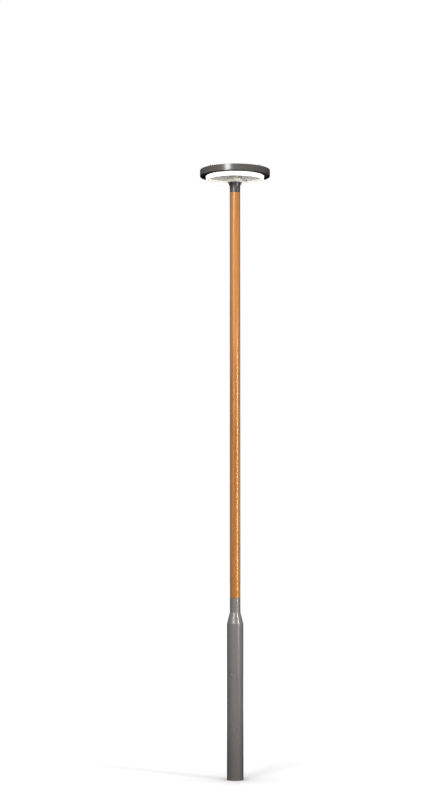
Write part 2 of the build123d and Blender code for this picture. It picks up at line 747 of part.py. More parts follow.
def lid_profile(arc, *corners):
    """Solid turned from a dome arc and the corners that close it."""
    start, end = arc @ 0, arc @ 1
    sides = Polyline((end.X, end.Y), *corners, (start.X, start.Y))
    return revolve(Plane.XZ * make_face([arc.edge(), *sides.edges()]), Axis.Z)


def make_lid():
    edge_r = rim_ri - lid_side_gap
    seat = lip_top + seal_thick + body_gap
    inner_r = lip_ri + 1
    filled = lid_profile(dome_arc(edge_r, 0), (edge_r, seat), (0, seat))
    inner_arc = dome_arc(inner_r, lid_thick)
    lid = filled - lid_profile(inner_arc, (inner_r, seat - 5), (0, seat - 5))
    for angle in latch_angles:
        hole = rod(bush_stem_d / 2 + fit_gap, seat - 20, rim_top + 40, x=latch_r)
        lid -= Rot(0, 0, angle) * hole
    save(lid, "canopy_lid")

    bushes = []
    knob_low = rim_top + latch_rise
    bush_top = knob_low - body_gap
    blade_high = lip_top - 4 - pocket_gap
    blade_low = blade_high - latch_blade
    stem_r = latch_stem_d / 2
    for angle, side in zip(latch_angles, ("left", "right")):
        latch = rod(stem_r, blade_low, knob_low + 1, x=latch_r)
        latch += rod(latch_knob_r, knob_low, knob_low + 5, x=latch_r)
        latch -= block(latch_r - 9, latch_r + 9, -1.5, 1.5, knob_low + 2.5, knob_low + 6)
        latch += block(latch_r - stem_r, latch_r + stem_r, -stem_r, latch_blade_reach, blade_low,
                       blade_high)
        save(Rot(0, 0, angle) * latch, "lid_latch_" + side)
        bush = rod(bush_flange_r, seat, bush_top, x=latch_r) - Rot(0, 0, -angle) * filled
        bush += rod(bush_stem_d / 2 + fit_gap / 2, seat, bush_top, x=latch_r)
        bush -= rod(stem_r + slip, seat - 1, knob_low, x=latch_r)
        bushes.append(Rot(0, 0, angle) * bush)
    save(joined(bushes), "latch_bushes")
    return filled


def make_hinge(filled_lid):
    pin_r = hinge_pin_d / 2
    ear_r = knuckle_r + pocket_gap
    back = hinge_y + ear_r
    saddle = block(-ear_high, ear_high, rim_r - 12, back, rim_bottom + 14, hinge_z - knuckle_r - 5)
    for side in (-1, 1):
        low, high = sorted((side * ear_low, side * ear_high))
        ear = block(low, high, rim_r + 1, back, hinge_z - knuckle_r - 6, hinge_z)
        cap = Pos((low + high) / 2, hinge_y, hinge_z) * Rot(0, 90, 0) * Cylinder(ear_r, high - low)
        saddle += ear + cap
    saddle -= rod(rim_r, 0, rim_top + 1)
    saddle -= Pos(0, hinge_y, hinge_z) * Rot(0, 90, 0) * Cylinder(pin_r + slip / 2, 200)
    mid_z = rim_bottom + rim_height / 2
    screws = []
    for x in (-hinge_screw_x, hinge_screw_x):
        saddle -= lying(m5 / 2 + fit_gap, rim_r - 20, back + 2, x=x, z=mid_z)
        screw = Pos(x, 0, mid_z) * Rot(-90, 0, 0) * pan_screw(m5, rim_ri - 5, back)
        screws.append(screw)
    save(saddle, "lid_hinge_bracket")
    save(joined(screws), "hinge_screws")

    pin = Pos(0, hinge_y, hinge_z) * Rot(0, 90, 0) * Cylinder(pin_r, 2 * ear_high + 2)
    save(pin, "lid_hinge_pin")

    knuckle = Pos(0, hinge_y, hinge_z) * Rot(0, 90, 0) * Cylinder(knuckle_r, 2 * leaf_half)
    leaf = block(-leaf_half, leaf_half, rim_ri - 40, hinge_y, rim_top + 0.6, hinge_z)
    leaf -= filled_lid
    leaf = leaf + knuckle
    leaf -= Pos(0, hinge_y, hinge_z) * Rot(0, 90, 0) * Cylinder(pin_r + slip, 200)
    save(leaf, "lid_hinge_leaf")


make_foot()
make_door_frame()
make_door()
make_lock()
make_rail()
make_fuse_box()
make_terminals()
spigot_end, socket_screws = make_mast()
make_mast_cable()
make_neck(spigot_end, socket_screws)
column_fixings = make_column()
clamp_screw_r, clamp_fixings = make_cover()
make_rim(clamp_screw_r, column_fixings)
make_light_engine()
make_gear(clamp_fixings)
solid_lid = make_lid()
make_hinge(solid_lid)
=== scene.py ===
import json
import math

import bmesh
import bpy
from mathutils import Matrix, Vector


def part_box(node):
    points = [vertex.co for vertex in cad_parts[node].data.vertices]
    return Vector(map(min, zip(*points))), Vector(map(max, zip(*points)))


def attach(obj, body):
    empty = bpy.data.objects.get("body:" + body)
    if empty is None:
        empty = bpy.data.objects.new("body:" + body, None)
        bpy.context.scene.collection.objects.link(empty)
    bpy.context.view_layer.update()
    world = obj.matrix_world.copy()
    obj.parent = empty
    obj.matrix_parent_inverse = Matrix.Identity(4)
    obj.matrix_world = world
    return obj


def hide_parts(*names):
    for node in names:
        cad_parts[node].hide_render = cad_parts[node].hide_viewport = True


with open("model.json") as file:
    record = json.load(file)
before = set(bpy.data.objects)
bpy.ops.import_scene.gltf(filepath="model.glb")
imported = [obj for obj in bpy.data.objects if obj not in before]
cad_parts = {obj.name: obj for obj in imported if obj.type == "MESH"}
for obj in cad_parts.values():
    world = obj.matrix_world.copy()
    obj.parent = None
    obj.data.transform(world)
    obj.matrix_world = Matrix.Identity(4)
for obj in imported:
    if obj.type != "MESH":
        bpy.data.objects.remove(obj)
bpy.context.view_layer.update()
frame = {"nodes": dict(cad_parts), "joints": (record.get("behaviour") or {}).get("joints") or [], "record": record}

scene = bpy.context.scene
scene.view_settings.view_transform = "Standard"
scene.view_settings.look = "None"


# ---------------------------------------------------------------- studio values
FLOOR_RADIUS = 70
SURROUND_RADIUS = 72
FLOOR_ALBEDO = 0.5
# the floor's glow carries a painted shadow: dimmer near the post, darker still towards the foot
GLOW_NEAR, GLOW_FAR = 0.3, 7.0      # distances from the post over which the floor brightens
GLOW_LEAST, GLOW_MOST = 0.57, 1.0   # the floor's glow at those distances
CONTACT_SHADE = 0.03                # glow lost at one metre from the post's axis, more towards the foot

# for each axis: where the surround is dim, where it is bright, and its strength at the two
SURROUND_SLOPES = (
    ("Y", 1.0, -1.0, 0.07, 0.67),
    ("Z", -0.4, 0.7, 0.02, 1.0),
    ("X", 0.9, -0.6, 0.25, 1.0),
)


# ---------------------------------------------------------------- shader node helpers
def map_range(tree, value, low, high, to_low, to_high, kind="SMOOTHSTEP"):
    """Output that goes from to_low to to_high as the value goes from low to high."""
    node = tree.nodes.new("ShaderNodeMapRange")
    node.interpolation_type = kind
    node.inputs["From Min"].default_value = low
    node.inputs["From Max"].default_value = high
    node.inputs["To Min"].default_value = to_low
    node.inputs["To Max"].default_value = to_high
    tree.links.new(value, node.inputs["Value"])
    return node.outputs["Result"]


def calculate(tree, kind, first, second, clamp=False):
    """Output of a math node on two sockets or numbers."""
    node = tree.nodes.new("ShaderNodeMath")
    node.operation = kind
    node.use_clamp = clamp
    for socket, value in zip(node.inputs, (first, second)):
        if isinstance(value, (int, float)):
            socket.default_value = value
        else:
            tree.links.new(value, socket)
    return node.outputs[0]


# ---------------------------------------------------------------- camera, floor and light
def add_camera():
    """A long lens a little above head height, tilted up a few degrees."""
    data = bpy.data.cameras.new("camera")
    data.sensor_width = 36.0
    data.lens = 84.4
    data.clip_end = 200.0
    camera = bpy.data.objects.new("camera", data)
    camera.location = (-0.094, -15.9, 2.02)
    camera.rotation_euler = (math.radians(94.209), 0.0, 0.0)
    scene.collection.objects.link(camera)
    scene.camera = camera


def add_area(name, place, aim, size, power):
    """Rectangular softbox at a place, facing a point."""
    data = bpy.data.lights.new(name, "AREA")
    data.shape = "RECTANGLE"
    data.size, data.size_y = size
    data.energy = power
    light = bpy.data.objects.new(name, data)
    light.location = place
    light.rotation_euler = (Vector(aim) - Vector(place)).to_track_quat("-Z", "Y").to_euler()
    light.visible_camera = False
    scene.collection.objects.link(light)


def around_post(angle, distance, height):
    """Point round the post; angle 0 is in front, positive to the right."""
    turn = math.radians(angle)
    return (distance * math.sin(turn), -distance * math.cos(turn), height)


def add_lights():
    """Softboxes in front and overhead, and one behind for the views of the back."""
    add_area("upper_left_key", around_post(-24, 12.0, 8.65), (0, 0, 0.8), (3.4, 2.3), 880)
    add_area("left_softbox", around_post(-27, 12.0, 4.9), (0, 0, 1.6), (3.4, 3.0), 145)
    add_area("right_softbox", around_post(50, 6.0, 2.75), (0, 0, 2.2), (0.7, 3.0), 250)
    add_area("overhead_softbox", (-0.5, -1.0, 9.0), (0, 0, 0), (7.0, 7.0), 260)
    add_area("back_key", around_post(178, 12.0, 8.5), (0, 0, 2.0), (2.0, 2.0), 300)


def set_world():
    """Pale surround: brightest in front, above and to the left, darker behind the object and below."""
    world = bpy.data.worlds.new("studio")
    world.use_nodes = True
    tree = world.node_tree
    tree.nodes.clear()
    out = tree.nodes.new("ShaderNodeOutputWorld")
    sky = tree.nodes.new("ShaderNodeBackground")
    where = tree.nodes.new("ShaderNodeTexCoord")
    parts = tree.nodes.new("ShaderNodeSeparateXYZ")
    tree.links.new(where.outputs["Generated"], parts.inputs[0])
    strength = 1.0
    for axis, *slope in SURROUND_SLOPES:
        share = map_range(tree, parts.outputs[axis], *slope, kind="LINEAR")
        strength = calculate(tree, "MULTIPLY", strength, share)
    tree.links.new(strength, sky.inputs["Strength"])
    tree.links.new(sky.outputs[0], out.inputs["Surface"])
    scene.world = world


def glowing(name, albedo=0.0):
    """Flat studio surface that glows and, where it has an albedo, takes shadows."""
    mat = bpy.data.materials.new(name)
    mat.use_nodes = True
    bsdf = mat.node_tree.nodes["Principled BSDF"]
    bsdf.inputs["Base Color"].default_value = (albedo, albedo, albedo, 1)
    bsdf.inputs["Roughness"].default_value = 1.0
    bsdf.inputs["Specular IOR Level"].default_value = 0.0
    bsdf.inputs["Emission Color"].default_value = (1, 1, 1, 1)
    bsdf.inputs["Emission Strength"].default_value = 1.0
    return mat


def floor_paint():
    """Pale floor with a painted shadow that darkens it softly towards the foot; it brightens into the surround."""
    mat = glowing("pale_floor", FLOOR_ALBEDO)
    tree = mat.node_tree
    coords = tree.nodes.new("ShaderNodeTexCoord")
    length = tree.nodes.new("ShaderNodeVectorMath")
    length.operation = "LENGTH"
    tree.links.new(coords.outputs["Object"], length.inputs[0])
    reach = length.outputs["Value"]
    # Painted shadow: the glow is lower near the post and loses more towards the foot.
    glow = map_range(tree, reach, GLOW_NEAR, GLOW_FAR, GLOW_LEAST, GLOW_MOST)
    shade = calculate(tree, "DIVIDE", CONTACT_SHADE, reach)
    strength = calculate(tree, "SUBTRACT", glow, shade, clamp=True)
    tree.links.new(strength, tree.nodes["Principled BSDF"].inputs["Emission Strength"])
    return mat


def add_studio():
    """Pale floor that fades into a white surround."""
    bpy.ops.mesh.primitive_circle_add(vertices=96, radius=FLOOR_RADIUS, fill_type="NGON",
                                      location=(0, 0, 0))
    floor = bpy.context.object
    floor.name = "floor"
    floor.data.materials.append(floor_paint())
    bpy.ops.mesh.primitive_uv_sphere_add(segments=64, ring_count=32, radius=SURROUND_RADIUS)
    surround = bpy.context.object
    surround.name = "surround"
    surround.data.materials.append(glowing("white_surround"))
    for shell in (floor, surround):
        shell.visible_diffuse = False
        shell.visible_glossy = False
        shell.visible_shadow = False


# ---------------------------------------------------------------- material building
class Surface:
    """One procedural material: a Principled shader and the nodes that drive it."""

    def __init__(self, name):
        self.mat = bpy.data.materials.new(name)
        self.mat.use_nodes = True
        self.tree = self.mat.node_tree
        self.bsdf = self.tree.nodes["Principled BSDF"]
        self.coords = self.tree.nodes.new("ShaderNodeTexCoord")

    def link(self, source, target):
        self.tree.links.new(source, target)

    def put(self, **values):
        """Sets values on the shader's own sockets, spaces written as underscores."""
        for key, value in values.items():
            socket = self.bsdf.inputs[key.replace("_", " ")]
            if isinstance(value, tuple):
                value = (*value, 1.0)
            socket.default_value = value

    def stretched(self, stretch):
        """Object coordinates scaled along each axis."""
        mapping = self.tree.nodes.new("ShaderNodeMapping")
        mapping.inputs["Scale"].default_value = stretch
        self.link(self.coords.outputs["Object"], mapping.inputs["Vector"])
        return mapping.outputs["Vector"]

    def noise(self, scale, detail, stretch=(1, 1, 1), warp=0.0):
        node = self.tree.nodes.new("ShaderNodeTexNoise")
        node.inputs["Scale"].default_value = scale
        node.inputs["Detail"].default_value = detail
        node.inputs["Roughness"].default_value = 0.55
        node.inputs["Distortion"].default_value = warp
        self.link(self.stretched(stretch), node.inputs["Vector"])
        return node.outputs["Fac"]

    def cells(self, scale):
        """Distance to the nearest cell's centre."""
        node = self.tree.nodes.new("ShaderNodeTexVoronoi")
        node.inputs["Scale"].default_value = scale
        self.link(self.coords.outputs["Object"], node.inputs["Vector"])
        return node.outputs["Distance"]

    def spread(self, value, low, high, to_low=0.0, to_high=1.0):
        return map_range(self.tree, value, low, high, to_low, to_high)

    def math(self, kind, first, second=0.0):
        return calculate(self.tree, kind, first, second)

    def ramp(self, value, *stops):
        """Colour ramp from (place, colour) stops."""
        node = self.tree.nodes.new("ShaderNodeValToRGB")
        points = node.color_ramp.elements
        while len(points) < len(stops):
            points.new(0.5)
        for point, (place, colour) in zip(points, stops):
            point.position = place
            point.color = (*colour, 1.0)
        self.link(value, node.inputs["Fac"])
        return node.outputs["Color"]

    def between(self, value, dark, light):
        """Colour from dark to light as the value goes from 0 to 1."""
        return self.ramp(value, (0.0, dark), (1.0, light))

    def multiply(self, share, first, second):
        """First colour multiplied by the second, by a share."""
        node = self.tree.nodes.new("ShaderNodeMix")
        node.data_type = "RGBA"
        node.blend_type = "MULTIPLY"
        node.inputs[0].default_value = share
        self.link(first, node.inputs[6])
        self.link(second, node.inputs[7])
        return node.outputs[2]

    def place(self, axis):
        """One object coordinate, X, Y or Z."""
        node = self.tree.nodes.new("ShaderNodeSeparateXYZ")
        self.link(self.coords.outputs["Object"], node.inputs[0])
        return node.outputs[axis]

    def radius(self):
        """Distance from the post's axis."""
        x, y = self.place("X"), self.place("Y")
        squares = self.math("ADD", self.math("MULTIPLY", x, x), self.math("MULTIPLY", y, y))
        return self.math("SQRT", squares)

    def colour(self, value):
        self.link(value, self.bsdf.inputs["Base Color"])

    def roughness(self, value):
        self.link(value, self.bsdf.inputs["Roughness"])

    def bump(self, *layers, radius=0.0):
        """Bumps from (height, strength, distance) layers, over softened edges where radius is set."""
        normal = None
        if radius:
            soft = self.tree.nodes.new("ShaderNodeBevel")
            soft.samples = 4
            soft.inputs["Radius"].default_value = radius
            normal = soft.outputs[0]
        for height, strength, distance in layers:
            node = self.tree.nodes.new("ShaderNodeBump")
            node.inputs["Strength"].default_value = strength
            node.inputs["Distance"].default_value = distance
            self.link(height, node.inputs["Height"])
            if normal is not None:
                self.link(normal, node.inputs["Normal"])
            normal = node.outputs[0]
        self.link(normal, self.bsdf.inputs["Normal"])


# ---------------------------------------------------------------- finishes
WHITE = (1.0, 1.0, 1.0)


def powder_coat(name, dark, light, rough=0.30, gloss=0.12, ground_shade_height=0.0):
    """Fine-textured powder coat, faintly weathered, with painted shade darkening it towards the ground up to a
    height.
    """
    s = Surface(name)
    s.put(Metallic=0.0, Coat_Weight=0.5, Coat_Roughness=gloss)
    weather = s.noise(2.2, 6, stretch=(3, 3, 0.8))
    speck = s.noise(900, 3)
    tone = s.between(s.spread(weather, 0.3, 0.72), dark, light)
    shade = s.ramp(speck, (0.35, (0.86, 0.86, 0.86)), (0.65, (1.06, 1.06, 1.06)))
    toned = s.multiply(1.0, tone, shade)
    # Painted shade: the colour darkens towards the ground, up to the given height.
    if ground_shade_height:
        painted_ground_shade = s.between(s.spread(s.place("Z"), 0.0, ground_shade_height), (0.66, 0.65, 0.64), WHITE)
        toned = s.multiply(1.0, toned, painted_ground_shade)
    s.colour(toned)
    s.roughness(s.spread(weather, 0.25, 0.8, rough - 0.05, rough + 0.08))
    s.bump((speck, 0.05, 0.0004), (s.noise(160, 3), 0.04, 0.0006), radius=0.0006)
    return s.mat


def painted_underside_shade():
    """Matt near-black painted shade on the graphite paint where it faces down."""
    s = Surface("painted_underside_shade")
    s.put(Specular_IOR_Level=0.12)
    patches = s.noise(16, 5)
    shade = s.spread(patches, 0.3, 0.75)
    s.colour(s.between(shade, (0.010, 0.0095, 0.009), (0.020, 0.019, 0.018)))
    s.roughness(s.spread(patches, 0.3, 0.8, 0.72, 0.9))
    s.bump((s.noise(160, 3), 0.04, 0.0006))
    return s.mat


def timber():
    """Oiled straight-grained hardwood: long fibres, darker figure and fine pores along the mast."""
    s = Surface("oiled_timber")
    s.put(Specular_IOR_Level=0.6, Specular_Tint=(1.0, 0.74, 0.44), Coat_Weight=0.25, Coat_Roughness=0.13)
    boards = s.noise(1.0, 5, stretch=(9, 9, 0.45), warp=0.3)
    figure = s.noise(1.0, 7, stretch=(42, 42, 1.1), warp=1.1)
    fibres = s.noise(1.0, 5, stretch=(420, 420, 9))
    pores = s.noise(1.0, 3, stretch=(900, 900, 30))
    base = s.ramp(s.spread(boards, 0.28, 0.72),
                  (0.0, (0.54, 0.215, 0.060)), (0.5, (0.64, 0.275, 0.085)), (1.0, (0.72, 0.330, 0.110)))
    grain = s.ramp(figure,
                   (0.30, (0.70, 0.62, 0.54)), (0.48, (0.96, 0.94, 0.92)), (0.75, (1.10, 1.12, 1.14)))
    toned = s.multiply(1.0, base, grain)
    fine = s.ramp(fibres, (0.34, (0.80, 0.76, 0.72)), (0.60, (1.05, 1.05, 1.05)))
    toned = s.multiply(0.85, toned, fine)
    pits = s.ramp(pores, (0.30, (0.52, 0.44, 0.38)), (0.40, WHITE))
    s.colour(s.multiply(0.6, toned, pits))
    s.roughness(s.spread(figure, 0.3, 0.7, 0.26, 0.18))
    s.bump((figure, 0.08, 0.0015), (fibres, 0.10, 0.0006), (pores, 0.06, 0.0003), radius=0.0008)
    return s.mat


# radii over which the cover turns from clear to opal wall, and from clear to frosted funnel
WALL_ZONE = (0.231, 0.240)
FUNNEL_ZONE = (0.080, 0.071)
RIB_RATE = 1400.0       # radians of rib per metre of height


def clear_acrylic():
    """Moulded acrylic, lit from inside: an opal ribbed wall, a clear flat base and a frosted funnel."""
    s = Surface("clear_acrylic")
    s.put(IOR=1.22, Emission_Strength=1.0)
    radius = s.radius()
    wall = s.spread(radius, *WALL_ZONE)
    funnel = s.spread(radius, *FUNNEL_ZONE)
    smudge = s.noise(14, 4)
    s.colour(s.between(s.spread(smudge, 0.3, 0.8), (0.93, 0.93, 0.91), (0.97, 0.97, 0.95)))
    opal = s.math("ADD", s.math("MULTIPLY", wall, 0.6), s.math("MULTIPLY", funnel, 0.15))
    s.link(s.math("SUBTRACT", 1.0, opal), s.bsdf.inputs["Transmission Weight"])
    frosted = s.spread(s.math("MAXIMUM", wall, funnel), 0, 1, 0.04, 0.5)
    s.roughness(s.math("ADD", frosted, s.spread(smudge, 0.4, 0.8, 0.0, 0.04)))
    ribs = s.math("SINE", s.math("MULTIPLY", s.place("Z"), RIB_RATE))
    glow = s.math("ADD", s.math("MULTIPLY", wall, 0.50), s.math("MULTIPLY", funnel, 0.05))
    banded = s.math("MULTIPLY", glow, s.spread(ribs, -1, 1, 0.94, 1.04))
    s.link(s.between(banded, (0.0, 0.0, 0.0), (1.0, 0.985, 0.94)), s.bsdf.inputs["Emission Color"])
    s.bump((s.math("MULTIPLY", ribs, wall), 0.25, 0.0006), (smudge, 0.03, 0.001))
    return s.mat


def bare_metal(name, dark, light, rough, streak=(1, 1, 1)):
    """Bare metal with mill streaks, stains and fine scratches."""
    s = Surface(name)
    s.put(Metallic=1.0)
    stain = s.noise(9, 5)
    streaks = s.noise(60, 5, stretch=streak)
    s.colour(s.between(s.spread(stain, 0.3, 0.75), dark, light))
    s.roughness(s.spread(streaks, 0.3, 0.7, rough - 0.07, rough + 0.12))
    s.bump((streaks, 0.08, 0.0005), (s.noise(500, 2), 0.05, 0.0003), radius=0.0004)
    return s.mat


def galvanised():
    """Hot-dip zinc with crystal spangle."""
    s = Surface("galvanised")
    s.put(Metallic=1.0)
    spangle = s.cells(70)
    bloom = s.noise(12, 5)
    base = s.ramp(spangle, (0.0, (0.44, 0.46, 0.48)), (0.6, (0.66, 0.67, 0.68)))
    dull = s.ramp(bloom, (0.4, (0.8, 0.8, 0.8)), (0.7, WHITE))
    s.colour(s.multiply(1.0, base, dull))
    s.roughness(s.spread(spangle, 0.0, 0.6, 0.52, 0.34))
    s.bump((spangle, 0.06, 0.0005), (bloom, 0.08, 0.001), radius=0.0005)
    return s.mat


def moulded(name, dark, light, rough, coat=0.0):
    """Moulded plastic or rubber with a spark-eroded texture and slight dust."""
    s = Surface(name)
    s.put(Coat_Weight=coat)
    dust = s.noise(20, 5)
    grit = s.noise(1100, 2)
    s.colour(s.between(s.spread(dust, 0.3, 0.75), dark, light))
    s.roughness(s.spread(dust, 0.3, 0.8, rough - 0.06, rough + 0.1))
    s.bump((grit, 0.08, 0.0003), (s.noise(90, 3), 0.03, 0.0006), radius=0.0005)
    return s.mat


def reflector_paint():
    """Satin grey paint of the plate above the cover."""
    s = Surface("reflector_paint")
    haze = s.noise(7, 4)
    s.colour(s.between(s.spread(haze, 0.3, 0.75), (0.19, 0.19, 0.18), (0.25, 0.25, 0.24)))
    s.roughness(s.spread(haze, 0.3, 0.8, 0.4, 0.5))
    s.bump((s.noise(300, 3), 0.05, 0.0004), radius=0.0004)
    return s.mat


def led_phosphor():
    """Yellow phosphor of the LEDs, glowing a little."""
    s = Surface("led_phosphor")
    s.put(Emission_Color=(1.0, 0.93, 0.8), Emission_Strength=2.0, Coat_Weight=0.6)
    mottle = s.noise(900, 3)
    s.colour(s.ramp(mottle, (0.3, (0.92, 0.74, 0.28)), (0.7, (0.98, 0.86, 0.42))))
    s.roughness(s.spread(mottle, 0.3, 0.7, 0.25, 0.4))
    s.bump((mottle, 0.05, 0.0002))
    return s.mat


def lens_acrylic():
    """Clear acrylic with a fine cell pattern, over the LEDs."""
    s = Surface("lens_acrylic")
    s.put(IOR=1.49, Transmission_Weight=1.0, Base_Color=(0.96, 0.96, 0.95))
    haze = s.noise(30, 3)
    s.roughness(s.spread(haze, 0.3, 0.8, 0.12, 0.22))
    s.bump((s.cells(160), 0.2, 0.0008))
    return s.mat


def finishes():
    """Material for each material slot of the record."""
    return {
        # the grey coat takes painted shade towards the ground, up to 0.7 m
        "painted_steel": powder_coat("grey_powder_coat", (0.216, 0.203, 0.191), (0.235, 0.221, 0.210),
                                     ground_shade_height=0.7),
        "painted_cast": powder_coat("graphite_powder_coat", (0.102, 0.096, 0.091), (0.114, 0.107, 0.101),
                                    rough=0.26, gloss=0.2),
        "timber": timber(),
        "clear_cover": clear_acrylic(),
        "cream_paint": powder_coat("cream_powder_coat", (0.66, 0.62, 0.53), (0.74, 0.70, 0.61),
                                   rough=0.4),
        "zinc_steel": galvanised(),
        "seal_rubber": moulded("seal_rubber", (0.018, 0.018, 0.018), (0.035, 0.034, 0.033), 0.62),
        "stainless": bare_metal("stainless", (0.50, 0.49, 0.47), (0.66, 0.65, 0.63), 0.28,
                                streak=(6, 6, 1)),
        "bare_aluminium": bare_metal("rolled_aluminium", (0.70, 0.70, 0.70), (0.82, 0.82, 0.82), 0.34,
                                     streak=(1, 18, 18)),
        "box_plastic": moulded("grey_box_plastic", (0.42, 0.43, 0.42), (0.52, 0.53, 0.52), 0.45),
        "carrier_plastic": moulded("carrier_plastic", (0.028, 0.030, 0.034), (0.050, 0.052, 0.056), 0.4),
        "gland_plastic": moulded("gland_plastic", (0.030, 0.030, 0.030), (0.050, 0.050, 0.050), 0.45),
        "fuse_ceramic": moulded("fuse_ceramic", (0.70, 0.67, 0.60), (0.80, 0.78, 0.72), 0.3, coat=0.4),
        "earth_brass": bare_metal("earth_brass", (0.55, 0.36, 0.12), (0.74, 0.54, 0.24), 0.3),
        "cable_sheath": moulded("cable_sheath", (0.022, 0.022, 0.022), (0.040, 0.040, 0.040), 0.5),
        "board_white": moulded("board_solder_mask", (0.62, 0.62, 0.60), (0.72, 0.72, 0.70), 0.35,
                               coat=0.3),
        "led_phosphor": led_phosphor(),
        "lens_clear": lens_acrylic(),
        "reflector_white": reflector_paint(),
        "driver_case": moulded("driver_case", (0.55, 0.55, 0.54), (0.66, 0.66, 0.65), 0.42),
        "surge_case": moulded("surge_case", (0.58, 0.55, 0.48), (0.68, 0.65, 0.58), 0.45),
    }


def paint_frame():
    """Gives every CAD node the finish of its slot."""
    looks = finishes()
    slot_of = {entry["node"]: entry["material_slot"] for entry in frame["record"]["subparts"]}
    for node, piece in frame["nodes"].items():
        piece.data.materials.clear()
        piece.data.materials.append(looks[slot_of[node]])
    return looks


# ---------------------------------------------------------------- sizes read from the frame
def spans(node):
    """Outer radius, lowest and highest height of a round node."""
    low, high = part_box(node)
    return (max(high[0], high[1]), low[2], high[2])


TUBE_R, TUBE_LOW, TUBE_TOP = spans("base_tube")
MAST_R, COLLAR_LOW, COLLAR_TOP = spans("mast_collar")
NECK_R, NECK_LOW, NECK_TOP = spans("neck_casting")
COLUMN_R, COLUMN_LOW, COLUMN_TOP = spans("central_column")
RIM_R, RIM_LOW, RIM_TOP = spans("rim_ring")
TIMBER_LOW, TIMBER_TOP = spans("timber_mast")[1:]
COVER_R, _, COVER_TOP = spans("light_cover")
LED_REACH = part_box("leds")[1][0] - 0.0025       # radius of the circle of LED centres
LED_COUNT = 24

TUBE_WALL = 0.004
BORE_R = 0.025              # cable entry in the foot plate, and bore of the mast
ANCHOR_REACH = 0.044
ANCHOR_HOLE_R = 0.009
SET_SCREW_HOLE_R = 0.00405
COLLAR_SCREWS = (50, 90, 130)       # degrees round the post
NECK_SCREWS = (0, 90, 180)
COLLAR_SCREW_Z = COLLAR_TOP - 0.035
NECK_SCREW_Z = NECK_LOW + 0.014
TENON_R = 0.0408
SPIGOT_BORE_R = 0.0301
SPIGOT_DEPTH = 0.18
COLUMN_BORE_R = 0.02
COVER_WALL = 0.003
COVER_FLANGE = 0.016
CUTTER_NEAR, CUTTER_FAR = TUBE_R * 0.4, TUBE_R + 0.02       # reach of a cutter through the door

DOOR_TURN = math.radians(-23.3)
DOOR_LOW, DOOR_HIGH = spans("service_door")[1:]
DOOR_WIDTH = 0.085
DOOR_CORNER = 0.022
DOOR_GAP = 0.001
LOCK_Z = DOOR_HIGH - 0.025
LOCK_HOLE_R = 0.01
LOCK_BORE_R = 0.006
STEPS = 192                 # segments round a turned piece


# ---------------------------------------------------------------- mesh building
def mesh_from(build, name):
    """Mesh data from a bmesh, which is then freed."""
    mesh = bpy.data.meshes.new(name)
    build.to_mesh(mesh)
    build.free()
    return mesh


def as_object(name, mesh):
    piece = bpy.data.objects.new(name, mesh)
    scene.collection.objects.link(piece)
    return piece


def rounded(corners, steps):
    """Closed outline of (radius, height) points from corners of (radius, height, rounding)."""
    outline = []
    for index, (x, z, rounding) in enumerate(corners):
        before, after = corners[index - 1], corners[(index + 1) % len(corners)]
        here = Vector((x, z))
        if not rounding:
            outline.append(here)
            continue
        back = (Vector(before[:2]) - here).normalized()
        on = (Vector(after[:2]) - here).normalized()
        half = back.angle(on) / 2
        centre = here + (back + on).normalized() * rounding / math.sin(half)
        start = here + back * rounding / math.tan(half) - centre
        end = here + on * rounding / math.tan(half) - centre
        turn = start.angle_signed(end)
        for step in range(steps + 1):
            angle = -turn * step / steps
            outline.append(centre + Vector((start.x * math.cos(angle) - start.y * math.sin(angle),
                                            start.x * math.sin(angle) + start.y * math.cos(angle))))
    return [(point.x, point.y) for point in outline]


def box_outline(inner, outer, low, high, ease):
    """Outline of a flat ring with eased edges."""
    return rounded([(inner, low, ease), (outer, low, ease), (outer, high, ease), (inner, high, ease)], 2)


def lathe_mesh(name, outline, steps):
    """Closed mesh turned about Z from a closed outline."""
    build = bmesh.new()
    rings = []
    for step in range(steps):
        angle = 2 * math.pi * step / steps
        turn = (math.cos(angle), math.sin(angle))
        rings.append([build.verts.new((r * turn[0], r * turn[1], z)) for r, z in outline])
    for step in range(steps):
        here, there = rings[step], rings[(step + 1) % steps]
        for index in range(len(outline)):
            following = (index + 1) % len(outline)
            build.faces.new((here[index], there[index], there[following], here[following]))
    bmesh.ops.remove_doubles(build, verts=build.verts, dist=1e-6)
    bmesh.ops.dissolve_degenerate(build, edges=build.edges, dist=1e-7)
    bmesh.ops.recalc_face_normals(build, faces=build.faces)
    return mesh_from(build, name)


def turned(name, outline, steps=STEPS):
    """Object turned about Z from a closed outline."""
    return as_object(name, lathe_mesh(name, outline, steps))


def applied(piece, tools=()):
    """Applies the piece's modifiers to its mesh and removes the tools they used."""
    bpy.context.view_layer.update()
    graph = bpy.context.evaluated_depsgraph_get()
    mesh = bpy.data.meshes.new_from_object(piece.evaluated_get(graph))
    piece.modifiers.clear()
    piece.data = mesh
    for tool in tools:
        bpy.data.objects.remove(tool)


def smooth(piece, limit=32.0):
    """Smooth shading with crisp edges above an angle; large faces keep their own direction."""
    for face in piece.data.polygons:
        face.use_smooth = True
    piece.data.set_sharp_from_angle(angle=math.radians(limit))
    weigh = piece.modifiers.new("weighted", "WEIGHTED_NORMAL")
    weigh.keep_sharp = True
    weigh.weight = 80
    applied(piece)


def cut(piece, tools, operation="DIFFERENCE"):
    """Boolean of a piece with each tool in turn."""
    for tool in tools:
        step = piece.modifiers.new("cut", "BOOLEAN")
        step.operation = operation
        step.solver = "EXACT"
        step.object = tool
    applied(piece, tools)


def ease_edges(piece, width):
    """Small bevel along the sharp edges."""
    bevel = piece.modifiers.new("eased", "BEVEL")
    bevel.width = width
    bevel.segments = 2
    bevel.limit_method = "ANGLE"
    bevel.angle_limit = math.radians(50)
    applied(piece)


